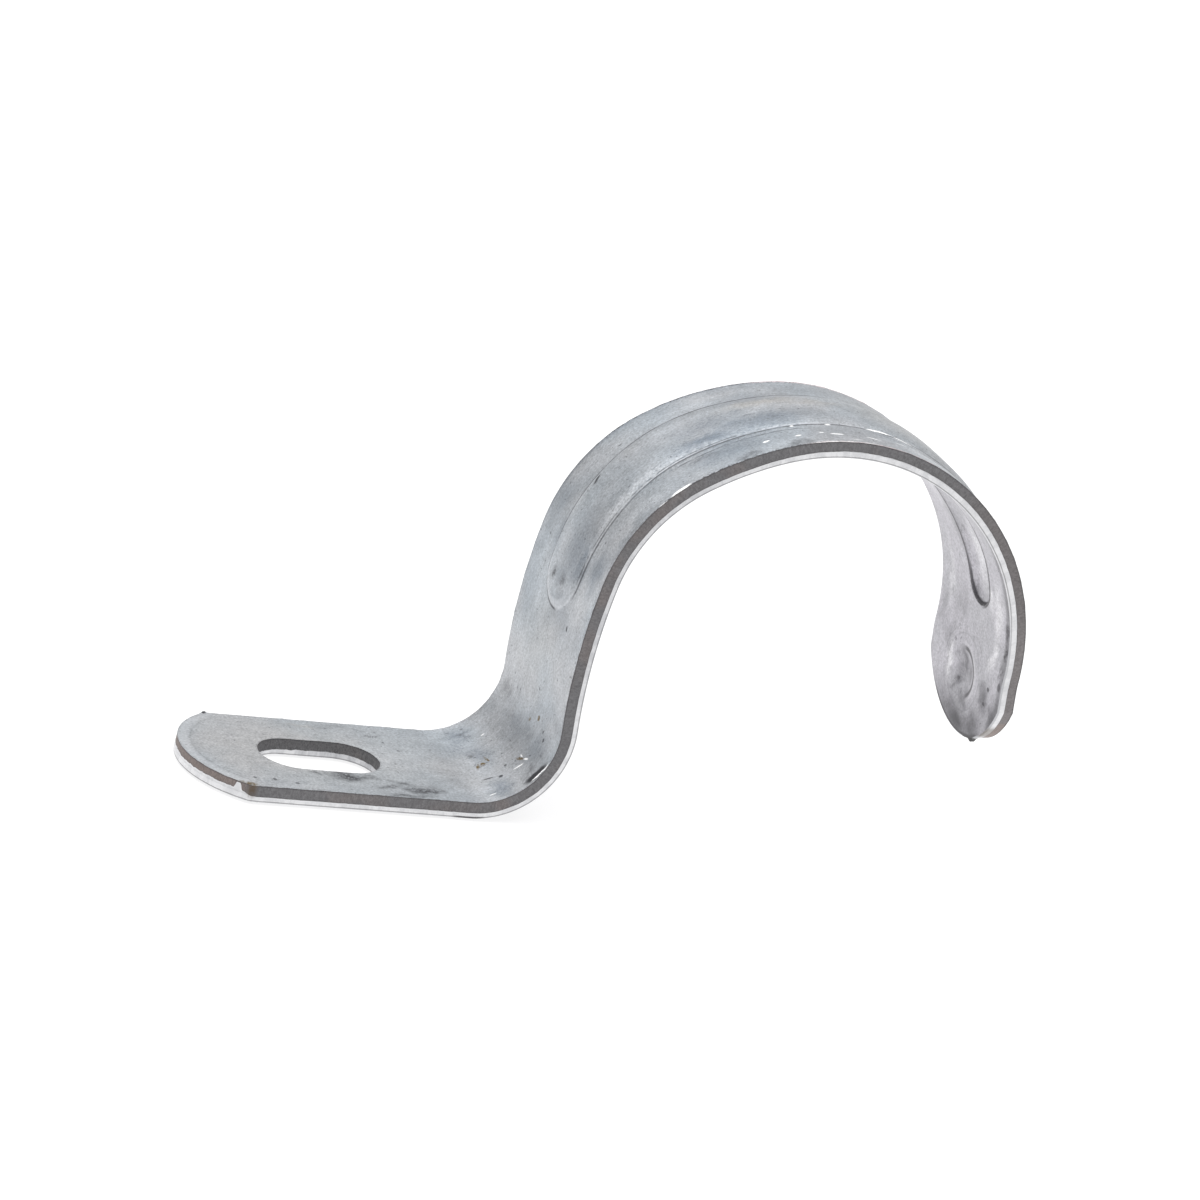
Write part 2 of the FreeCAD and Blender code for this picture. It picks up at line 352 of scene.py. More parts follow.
def edgeWall():
    # inset and w down a cut edge from the outer face: torn, then smooth, then rolled over by a
    # quarter of an ellipse
    torn = np.linspace(half, edge["cut"], grid["tornRows"])
    smooth = np.linspace(edge["cut"] - edge["smoothBelow"], edge["rollover"] - half, grid["smoothRows"])
    angle = np.linspace(0, math.pi / 2, grid["rollRows"])[1:]
    w = np.concatenate((torn, smooth, edge["rollover"] - half - edge["rollover"] * np.sin(angle)))
    inset = np.concatenate((
        edge["tornInset"] * (1 - 0.5 * np.linspace(0, 1, len(torn)) ** 2),
        np.zeros(len(smooth)),
        edge["rollover"] * (1 - np.cos(angle)),
    ))
    return inset, w


wallInset, wallW = edgeWall()


def bodyPatch(u, e, inset, w):
    # s = u - share(u) * endLine(y), y = e (half width - inset): rows are straight and bend into the
    # toe's round end
    y = e * (strip["width"] / 2 - inset)
    back = ease(u, whole - grid["toeBlend"], whole) * endLine(y, inset, strip["toeRadius"])
    return np.stack(np.broadcast_arrays(u - back, y, w), -1)


def footLoop(inset):
    # once round the foot: across it at the join, out along the far side, round the end and back
    wide = strip["width"] / 2 - inset
    corner = strip["footTip"] + endLine(wide, inset, strip["footRadius"])
    sideway = np.linspace(grid["joinAt"], corner, grid["sideSteps"])
    turn = math.asin(grid["endShare"])
    bow = np.sin(np.linspace(turn, -turn, grid["endSteps"])) / grid["endShare"]
    s = np.concatenate((
        np.full(len(columns), grid["joinAt"]), sideway[1:-1],
        strip["footTip"] + endLine(bow * wide, inset, strip["footRadius"]), sideway[::-1][1:],
    ))
    y = np.concatenate((
        columns * wide, np.full(len(sideway) - 2, wide), bow * wide, np.full(len(sideway) - 1, -wide)
    ))
    return s, y


def footRing(inset, w, share):
    # straight lines from the slot's edge to the foot's own edge, share 0 to 1
    s, y = footLoop(0.0)
    spine = slot["length"] / 2 - slot["width"] / 2
    nearest = np.clip(s - slot["middle"], -spine, spine)
    way = np.stack((s - slot["middle"] - nearest, y), -1)
    way /= np.linalg.norm(way, axis=-1, keepdims=True)
    innerS = slot["middle"] + nearest + way[:, 0] * (slot["width"] / 2 + inset)
    innerY = way[:, 1] * (slot["width"] / 2 + inset)
    outerS, outerY = footLoop(inset)
    return np.stack(np.broadcast_arrays(
        innerS + (outerS - innerS) * share, innerY + (outerY - innerY) * share, w
    ), -1)


columns = spread(-10, 10, grid["columnStep"], [
    (-4.6, 0.7, 1.5), (4.4, 0.7, 1.2), (-10, 0.4, 2.5), (10, 0.4, 2.5),
]) / 10
columns = (columns - columns[::-1]) / 2
rows = spread(grid["joinAt"], whole, grid["rowStep"], [
    (57.5, 2, 0.6), (129.5, 2, 0.6), (139.7, 4, 0.35), (whole, 0.6, 2),
])
rings = spread(0, 1, 1 / grid["rings"], [(0, 0.05, 2.0), (1, 0.05, 2.0)])

rowsDown, columnsAcross = rows[:, None], columns[None, :]
patches = []
for face, inset, w in ((0, wallInset[0], half), (1, wallInset[-1], -half)):
    patches.append((face, bodyPatch(rowsDown, columnsAcross, inset, w)))
    patches.append((face, footRing(inset, w, rings[:, None])))
for side in (-1.0, 1.0):
    patches.append((2, bodyPatch(rows[None, :], side, wallInset[:, None], wallW[:, None])))
patches.append((2, bodyPatch(whole, columnsAcross, wallInset[:, None], wallW[:, None])))
outlines = [footRing(inset, w, np.array([0.0, 1.0])[:, None]) for inset, w in zip(wallInset, wallW)]
patches.append((2, np.stack([loop[0] for loop in outlines])))
beyondJoin = len(columns) - 1
patches.append((2, np.stack([np.concatenate((loop[1, beyondJoin:], loop[1, :1])) for loop in outlines])))
print("patches:", len(patches), "columns:", len(columns), "rows:", len(rows))


def quads(patch, closed):
    # the four corners of each cell of a grid of points
    count, across = patch.shape[:2]
    number = np.arange(count * across).reshape(count, across)
    if closed:
        number = np.concatenate((number, number[:, :1]), 1)
    corners = (number[:-1, :-1], number[1:, :-1], number[1:, 1:], number[:-1, 1:])
    return np.stack(corners, -1).reshape(-1, 4)


points, faces, kinds = [], [], []
count = 0
for number, (kind, patch) in enumerate(patches):
    cells = quads(patch, number in (1, 3, 7))
    points.append(patch.reshape(-1, 3))
    faces.append(cells + count)
    kinds.append(np.full(len(cells), kind))
    count += patch.shape[0] * patch.shape[1]
blank = np.concatenate(points)
faces = np.concatenate(faces)
kinds = np.concatenate(kinds)

s, y, w = blank.T
rim = edgeDistance(s, y)


def nick(name, place):
    # size * exp(-((place - middle) / reach)^2), times exp(-(distance from the edge / inward)^2)
    size, middle, reach = edge[name]
    return size * np.exp(-((place - middle) / reach) ** 2) * np.exp(-(rim / edge["inward"]) ** 2)


lift = w + raised(s, y, w) + nick("nib", s) * (y > 0) * (w > 0.4)
torn = (w < half - 1e-6) & (w > edge["cut"] + 1e-6) & (rim < 0.2)
roughEdge = edge["tornRough"] * ragged(s * 1.1 + y * 3.1 + w * 4.7, 0.35, 11) * torn
notch = nick("notch", s) * (y < 0) * (w < 0.5)
spur = nick("spur", y) * (s > 140) * (w < -0.3)
x, z, heading = stripLine(s + spur)
placed = np.stack((
    x - np.sin(heading) * lift, y - np.sign(y) * (np.abs(roughEdge) + notch), z + np.cos(heading) * lift
), -1)

# how far each point lies inside the nearest pressed crease of its own face, and in from the cut edge
beadInside = np.maximum(ribInside(s, y, bead)[0], lensInside(s, y, dimple["bumpWidth"]))
grooveInside = np.maximum(ribInside(s, y, groove)[0], lensInside(s, y, dimple["width"]))
fold = np.where(w > 0, beadInside, grooveInside)

# the wear, dirt, painted shade and painted highlight, at places jogged a little so that their
# outlines are uneven
jogS = s + 0.5 * ragged(s + 0.7 * y, 1.1, 21) + 0.3 * ragged(y - 0.4 * s, 0.6, 22)
jogY = y + 0.4 * ragged(y + 0.6 * s, 1.1, 23) + 0.25 * ragged(s - 0.5 * y, 0.6, 24)


def wearAndPaintedLight(key, soft):
    outer = blotches(jogS, jogY, outerWearAndLight[key], soft)
    return np.where(w > 0, outer, blotches(jogS, jogY, wallWearAndLight.get(key, ()), soft))


# painted shade with some dull coat, the warm tint, and painted highlight with some pale coat
coatAndPaintedLight = np.stack([wearAndPaintedLight(key, 1.0) for key in ("shadeAndDull", "warmed", "highlightAndPale")], -1)
relief = np.stack((fold, rim, wearAndPaintedLight("smudges", 0.8)), -1)

strapMesh = bpy.data.meshes.new("strapSkin")
strapMesh.from_pydata((placed / 1000).tolist(), [], faces.tolist())
strapMesh.polygons.foreach_set("material_index", kinds.astype(np.int32))
for name, values in (("blank", blank), ("relief", relief), ("coatAndPaintedLight", coatAndPaintedLight)):
    layer = strapMesh.attributes.new(name, "FLOAT_VECTOR", "POINT")
    layer.data.foreach_set("vector", values.astype(np.float32).ravel())

work = bmesh.new()
work.from_mesh(strapMesh)
bmesh.ops.remove_doubles(work, verts=work.verts, dist=2e-6)
bmesh.ops.recalc_face_normals(work, faces=work.faces)
print("open edges:", sum(1 for e in work.edges if len(e.link_faces) != 2), "faces:", len(work.faces))
work.to_mesh(strapMesh)
work.free()
strapMesh.shade_smooth()
strapMesh.set_sharp_from_angle(angle=math.radians(19))

strapSkin = bpy.data.objects.new("strapSkin", strapMesh)
bpy.context.scene.collection.objects.link(strapSkin)
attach(strapSkin, "root")
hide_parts("strap")


def tone(red, green, blue):
    # a colour as the screen shows it, 0 to 255, turned into the shader's linear values
    parts = [c / 255 for c in (red, green, blue)]
    return (*[c / 12.92 if c <= 0.04045 else ((c + 0.055) / 1.055) ** 2.4 for c in parts], 1.0)


class Wire:
    # one output socket; sums and products with it add Math nodes
    def __init__(self, paint, socket):
        self.paint = paint
        self.socket = socket

    def __add__(self, other):
        return self.paint.maths("ADD", self, other)

    def __radd__(self, other):
        return self.paint.maths("ADD", other, self)

    def __sub__(self, other):
        return self.paint.maths("SUBTRACT", self, other)

    def __rsub__(self, other):
        return self.paint.maths("SUBTRACT", other, self)

    def __mul__(self, other):
        return self.paint.maths("MULTIPLY", self, other)

    def __rmul__(self, other):
        return self.paint.maths("MULTIPLY", other, self)


class Paint:
    # a material's nodes
    def __init__(self, name):
        self.material = bpy.data.materials.new(name)
        self.material.use_nodes = True
        self.nodes = self.material.node_tree.nodes
        self.links = self.material.node_tree.links
        self.nodes.clear()

    def node(self, kind, settings, inputs, outlet=0):
        made = self.nodes.new(kind)
        for name, value in settings.items():
            setattr(made, name, value)
        for place, value in inputs.items():
            if isinstance(value, Wire):
                self.links.new(value.socket, made.inputs[place])
            else:
                made.inputs[place].default_value = value
        return Wire(self, made.outputs[outlet])

    def maths(self, operation, *values):
        return self.node("ShaderNodeMath", {"operation": operation}, dict(enumerate(values)))

    def most(self, value, *others):
        # the largest of several values
        for other in others:
            value = self.maths("MAXIMUM", value, other)
        return value

    def vectors(self, operation, *values, outlet=0):
        settings = {"operation": operation}
        return self.node("ShaderNodeVectorMath", settings, dict(enumerate(values)), outlet)

    def mix(self, share, first, second, how="MIX"):
        settings = {"data_type": "RGBA", "blend_type": how}
        return self.node("ShaderNodeMix", settings, {0: share, 6: first, 7: second}, 2)

    def step(self, value, low, high, start=0.0, stop=1.0):
        # eases from start to stop as the value goes from low to high
        settings = {"interpolation_type": "SMOOTHSTEP"}
        return self.node("ShaderNodeMapRange", settings, {0: value, 1: low, 2: high, 3: start, 4: stop})

    def part(self, vector, axis):
        return self.node("ShaderNodeSeparateXYZ", {}, {0: vector}, axis)

    def noise(self, place, size, detail=2.0, rough=0.5, stretch=(1, 1, 1), seed=0.0, outlet=0):
        # a cloud whose patches are about size across, in the strip's millimetres
        spot = self.node("ShaderNodeMapping", {}, {
            0: place, 1: (seed, seed * 0.7, seed * 0.3), 3: tuple(k / size for k in stretch),
        })
        return self.node("ShaderNodeTexNoise", {}, {
            "Vector": spot, "Scale": 1.0, "Detail": detail, "Roughness": rough,
        }, outlet)

    def band(self, value, middle, reach, soft):
        # 1 where the value is within reach of the middle, 0 once it is a soft width further off
        away = self.maths("ABSOLUTE", value - middle)
        return self.step(away, reach + soft, reach)

    def blob(self, place, along, across, reach, wide, turn=0.0, soft=0.5):
        # 1 in the middle of an ellipse on the strip and 0 outside it
        spot = self.node("ShaderNodeMapping", {"vector_type": "TEXTURE"}, {
            0: place, 1: (along, across, 0), 2: (0, 0, math.radians(turn)), 3: (reach, wide, 1),
        })
        away = self.vectors("LENGTH", spot, outlet=1)
        return self.step(away, 1.0, 1.0 - soft)

    def marks(self, place, spots, soft=0.5):
        # the strongest of a list of blobs at each point: s, y, reach, width, turn, strength
        total = 0.0
        for *spot, strength in spots:
            total = self.most(total, self.blob(place, *spot, soft) * strength)
        return total

    def finish(self, colour, rough, metal, height, bump):
        # the height is in millimetres
        normal = self.node("ShaderNodeBump", {}, {"Height": height, "Distance": 0.001, "Strength": bump})
        self.output(self.node("ShaderNodeBsdfPrincipled", {}, {
            "Base Color": colour, "Roughness": rough, "Metallic": metal, "Normal": normal,
        }))
        return self.material

    def output(self, shader):
        made = self.nodes.new("ShaderNodeOutputMaterial")
        self.links.new(shader.socket, made.inputs[0])


def stripPlace(paint):
    # the strip's own coordinates, the same flat on its face, and the same jogged a little so that
    # marks placed with it get uneven outlines
    place = paint.node("ShaderNodeAttribute", {"attribute_name": "blank"}, {}, 1)
    flat = paint.vectors("MULTIPLY", place, (1, 1, 0))
    cloud = paint.noise(flat, 0.9, 3.0, 0.65, seed=7.7, outlet=1)
    jog = paint.vectors("SUBTRACT", cloud, (0.5, 0.5, 0.5))
    return place, flat, paint.vectors("MULTIPLY_ADD", jog, (0.4, 0.4, 0), flat)


def faceMaps(paint):
    # what the mesh knows at each point: how far inside the nearest crease, how far in from the cut
    # edge, the dirt, the painted shade with dull patches, the warm patches, and the painted
    # highlight with bright patches
    maps = [
        paint.node("ShaderNodeAttribute", {"attribute_name": name}, {}, 1) for name in ("relief", "coatAndPaintedLight")
    ]
    return [paint.part(vector, axis) for vector in maps for axis in range(3)]


outerZinc = {
    "blue": tone(178, 184, 190),
    "lilac": tone(187, 188, 191),
    "pale": tone(226, 228, 232),
    "shade": tone(112, 121, 131),
    "warm": tone(178, 173, 166),
    "pink": tone(226, 210, 212),
    "scrapeGlintWhite": tone(255, 255, 255),
    "dirtAndShade": tone(66, 66, 70),
    "ochre": tone(104, 84, 42),
    "metallic": 0.75,
    "roughness": 0.46,
    "bump": 0.6,
    "cloudSize": 6.5,
    "tintSize": 11.0,
    "mottleSize": 1.5,
    "grainSize": 0.3,
    "drawnSize": 0.4,
    # where along the strip each of these shows: middle, reach and soft width
    "scoredAt": (84.5, 6.5, 2.0),        # a second line beside the bead's near crease, twice
    "scoredPast": (107.0, 4.5, 3.0),
    "twinAt": (75.0, 12.0, 4.0),         # a line just inside that crease
    "shadeAt": (110.7, 1.8, 3.0),        # shade beside it where the arch turns down
    "farRimAt": (80.0, 13.0, 7.0),
    "pitsAt": (82.0, 7.0, 6.0),
    "grimeAt": (86.0, 10.0, 8.0),        # along the near cut edge
    "fringeAt": (100.0, 6.0, 4.0),
    # small marks: s, y, reach along, reach across, turn, strength
    "darks": (
        (6.65, -7.5, 0.3, 0.3, 0, 0.7), (8.9, -7.6, 0.3, 0.4, 0, 0.7),
        (11.3, -8.25, 0.35, 0.3, 0, 0.7), (25.3, 5.25, 0.25, 0.25, 0, 0.7),
        (26.5, 3.25, 0.25, 0.2, 0, 0.6), (40.0, -9.2, 2.3, 0.75, -6, 1.0),
        (34.9, -4.5, 1.0, 0.2, 0, 0.8), (36.4, -5.0, 0.4, 0.34, 0, 0.85),
        (43.4, -6.0, 0.34, 0.22, 20, 0.85), (45.6, 3.9, 0.3, 0.2, 0, 0.6),
        (44.1, -5.2, 0.3, 0.24, 0, 0.7), (48.0, -1.6, 0.3, 0.25, 0, 0.7),
        (56.4, -5.0, 0.45, 0.25, 20, 0.9), (70.9, 3.5, 0.85, 0.32, 24, 0.85),
        (37.7, -3.4, 0.3, 0.25, 0, 0.7), (63.0, 7.0, 0.25, 0.2, 0, 0.6),
        (75.0, 6.4, 0.35, 0.2, 0, 0.5), (34.2, 8.4, 0.4, 0.2, 0, 0.4), (5.5, 9.85, 0.5, 0.35, 0, 0.9),
        (36.0, 8.2, 0.3, 0.2, 0, 0.5),
    ),
    "ochres": (
        (36.3, -0.2, 0.24, 0.95, 10, 1.0), (35.5, -1.0, 0.44, 0.5, 0, 1.0),
        (34.8, -1.2, 0.26, 0.8, -20, 1.0), (39.6, -4.2, 0.3, 0.85, 30, 1.0),
        (43.8, -0.8, 0.34, 0.34, 0, 0.9), (44.9, -2.9, 0.5, 0.42, 30, 1.0),
        (5.6, -9.5, 0.9, 0.8, 0, 1.0), (4.8, -9.0, 0.5, 0.4, 0, 0.8),
    ),
    # painted highlights where small dents and scrapes catch the light
    "glints": (
        (37.8, 4.9, 0.35, 0.14, 0, 0.9), (38.9, -5.3, 0.9, 0.15, -12, 0.9),
        (40.15, -5.2, 0.17, 0.55, 30, 0.9), (40.0, -4.0, 0.14, 0.4, 0, 0.8),
        (34.2, -8.25, 0.6, 0.14, 10, 0.7), (40.5, -9.6, 1.9, 0.17, -5, 1.0),
        (76.5, -9.75, 1.5, 0.42, 1, 1.0), (74.2, -9.9, 0.6, 0.12, 0, 0.9),
        (87.4, -7.1, 0.55, 0.22, 14, 1.0), (90.9, -7.25, 0.5, 0.2, 8, 1.0),
        (93.6, -7.0, 0.35, 0.14, 0, 0.9), (95.2, -7.5, 0.9, 0.2, -8, 0.9),
        (99.4, -7.7, 1.0, 0.13, -6, 0.9), (103.1, -6.9, 0.9, 0.1, 0, 0.8),
        (101.2, -4.55, 1.9, 0.22, 4, 1.0), (104.2, -4.75, 1.5, 0.12, -6, 0.9),
        (91.2, -4.5, 0.3, 0.2, 0, 0.9), (95.2, -4.65, 0.35, 0.2, 0, 0.9),
        (94.5, -9.85, 3.6, 0.12, 0, 0.7), (98.3, -9.8, 1.2, 0.14, 0, 0.8),
        (97.0, -8.9, 0.8, 0.1, 0, 0.6), (55.9, -9.9, 1.1, 0.1, 0, 0.4),
    ),
}


def makeOuterZinc():
    # blue-grey to lilac zinc, clouded and grained, with its wear, painted shade and painted highlight,
    # then lines, dirt, painted shade and scrapes painted as white highlights
    paint = Paint("outerZinc")
    place, flat, spot = stripPlace(paint)
    fold, rimAt, smudged, shadeAndDull, warmed, highlightAndPale = faceMaps(paint)
    along, across = paint.part(place, 0), paint.part(place, 1)
    cloud = paint.noise(flat, outerZinc["cloudSize"], 3.0, 0.55)
    tint = paint.noise(flat, outerZinc["tintSize"], 2.0, 0.5, seed=2.9)
    mottle = paint.noise(flat, outerZinc["mottleSize"], 3.0, 0.6, seed=4.3)
    grain = paint.noise(flat, outerZinc["grainSize"], 2.0, 0.75, seed=3.1)
    drawn = paint.noise(flat, outerZinc["drawnSize"], 2.0, 0.5, (0.05, 1, 1), seed=5.7)
    colour = paint.mix(paint.step(tint, 0.36, 0.64) * 0.8, outerZinc["blue"], outerZinc["lilac"])
    colour = paint.mix(paint.step(cloud, 0.45, 0.7) * 0.16, colour, outerZinc["shade"])
    uneven = 0.7 + mottle * 0.6
    # painted shade on the bends and the bead, a warm tint, then painted highlight on the bead's slopes
    colour = paint.mix(shadeAndDull * uneven, colour, outerZinc["shade"])
    colour = paint.mix(warmed * uneven, colour, outerZinc["warm"])
    colour = paint.mix(highlightAndPale * uneven, colour, outerZinc["pale"])
    value = 0.03 + grain * 1.25 + mottle * 0.5 + drawn * 0.2
    colour = paint.mix(1.0, colour, value, "MULTIPLY")
    # the bead's creases: a thin dark line with a painted highlight inside it, and more lines at the near
    # side
    broken = paint.step(paint.noise(flat, 1.4, 3.0, 0.7, (0.5, 1, 1), seed=8.8), 0.36, 0.5)
    nearSide = paint.step(across, 0.0, -1.0)
    onArch = paint.step(along, 100 + nearSide * 18, 96 + nearSide * 14)
    onArch = paint.most(onArch, paint.step(along, 113.0, 118.0))
    openEnd = 1 - nearSide * paint.step(along, 60.5, 59.0)
    crease = paint.band(fold, -0.06, 0.07, 0.15) * onArch * openEnd * (0.72 + broken * 0.28)
    scored = paint.most(
        paint.band(along, *outerZinc["scoredAt"]), paint.band(along, *outerZinc["scoredPast"])
    )
    scored = paint.band(fold, -0.95, 0.04, 0.16) * nearSide * scored * broken
    twin = paint.band(fold, 0.34, 0.03, 0.14) * nearSide * broken * paint.band(along, *outerZinc["twinAt"])
    # painted highlight just inside the crease, where the bead's side rises
    inside = paint.band(fold, 0.24, 0.05, 0.2) * onArch * paint.step(mottle, 0.4, 0.6)
    colour = paint.mix(inside * 0.3, colour, outerZinc["pale"])
    # painted highlight inside the crease round the bead's start and its far side
    startHighlight = paint.band(fold, 0.5, 0.34, 0.4) * paint.step(along, 64.0, 60.0)
    startHighlight = startHighlight * paint.step(across, -3.6, -1.5)
    colour = paint.mix(startHighlight * 0.3, colour, outerZinc["pale"])
    shade = paint.band(fold, -0.5, 0.35, 0.45) * nearSide * paint.band(along, *outerZinc["shadeAt"])
    lines = paint.most(crease, paint.most(scored, twin, shade) * 0.8)
    # crease lines darken toward dirt, and the shade band among them is painted shade
    colour = paint.mix(lines * 0.72, colour, outerZinc["dirtAndShade"])
    # a faint border round the foot's tip, and the arch darker along its far rim
    tipOnly = paint.step(along, 7.0, 4.0)
    border = paint.band(rimAt, 1.5, 0.02, 0.16) * tipOnly * broken
    colour = paint.mix(border * 0.16, colour, outerZinc["dirtAndShade"])
    colour = paint.mix(paint.step(rimAt, 1.5, 0.9) * tipOnly * 0.25, colour, outerZinc["pale"])
    farRim = paint.step(rimAt, 0.9, 0.2) * paint.step(across, 6.0, 8.0)
    farRim = farRim * paint.band(along, *outerZinc["farRimAt"])
    colour = paint.mix(farRim * 0.45, colour, outerZinc["shade"])
    # the coat is pitted along the near crease of the arch
    pitNoise = paint.noise(flat, 0.34, 3.0, 0.7, (0.6, 1, 1), seed=19.6)
    pits = paint.step(pitNoise, 0.5, 0.66) * paint.band(fold, 0.3, 0.9, 0.9) * nearSide
    pits = pits * paint.band(along, *outerZinc["pitsAt"])
    colour = paint.mix(pits * 0.55, colour, outerZinc["shade"])
    # dirt, flecks of rust, and bright scrapes painted as flat white highlights
    patchy = paint.step(paint.noise(flat, 0.5, 3.0, 0.7, seed=1.9), 0.34, 0.6)
    colour = paint.mix(smudged * (0.35 + patchy * 0.65), colour, outerZinc["dirtAndShade"])
    colour = paint.mix(paint.marks(spot, outerZinc["darks"]), colour, outerZinc["dirtAndShade"])
    specks = paint.step(paint.noise(flat, 0.5, 2.0, 0.6, seed=12.1), 0.67, 0.74)
    colour = paint.mix(specks * 0.55, colour, outerZinc["dirtAndShade"])
    flecks = paint.marks(spot, outerZinc["ochres"]) * (0.3 + patchy * 0.7)
    colour = paint.mix(flecks, colour, outerZinc["ochre"])
    scrapeGlint = paint.marks(spot, outerZinc["glints"], 0.45)
    bare = paint.step(rimAt, 0.14, 0.03) * paint.step(mottle, 0.42, 0.6) * 0.5
    colour = paint.mix(bare, colour, outerZinc["pale"])
    jagged = paint.noise(flat, 0.36, 3.0, 0.8, seed=17.3)
    grime = paint.step(rimAt - (jagged - 0.38) * 1.3, 0.05, -0.03)
    grime = grime * (0.3 + paint.band(along, *outerZinc["grimeAt"]) * 0.6)
    colour = paint.mix(grime, colour, outerZinc["dirtAndShade"])
    # painted highlight: a pale pink ragged line along the near cut edge, the burr's sheen
    fringeSheen = paint.step(rimAt + (jagged - 0.5) * 1.6, 0.42, 0.2)
    fringeSheen = fringeSheen * paint.band(along, *outerZinc["fringeAt"])
    colour = paint.mix(fringeSheen * 0.8, colour, outerZinc["pink"])
    colour = paint.mix(scrapeGlint, colour, outerZinc["scrapeGlintWhite"])
    rough = outerZinc["roughness"] + (cloud - 0.5) * 0.16 + (grain - 0.5) * 0.2 + lines * 0.15
    metal = outerZinc["metallic"] * (1 - scrapeGlint) - lines * 0.3
    height = grain * 0.022 + mottle * 0.03 + drawn * 0.008 - lines * 0.03
    return paint.finish(colour, rough, metal, height, outerZinc["bump"])


wallZinc = {
    "base": tone(184, 183, 188),
    "lilac": tone(192, 190, 196),
    "pale": tone(232, 231, 234),
    "shade": tone(86, 85, 89),
    "dirtAndShade": tone(64, 62, 66),
    "metallic": 0.75,
    "roughness": 0.44,
    "bump": 0.6,
    "cloudSize": 6.0,
    "mottleSize": 1.4,
    "grainSize": 0.3,
    "drawnSize": 0.5,
    "nearWallAt": (120.0, 10.5, 4.0),    # along the strip: middle, reach and soft width
    "ringsAway": (4.4, 5.3),             # from the dimple's middle
    "darks": (
        (137.6, -9.2, 0.6, 0.45, 0, 0.7), (138.9, -6.6, 0.35, 0.4, 0, 0.8),
        (140.9, -6.0, 0.3, 0.4, 0, 0.8), (141.0, 1.9, 0.34, 0.34, 0, 0.5),
        (137.0, 3.6, 0.25, 0.25, 0, 0.5), (126.0, 4.8, 0.3, 0.2, 0, 0.5),
    ),
}


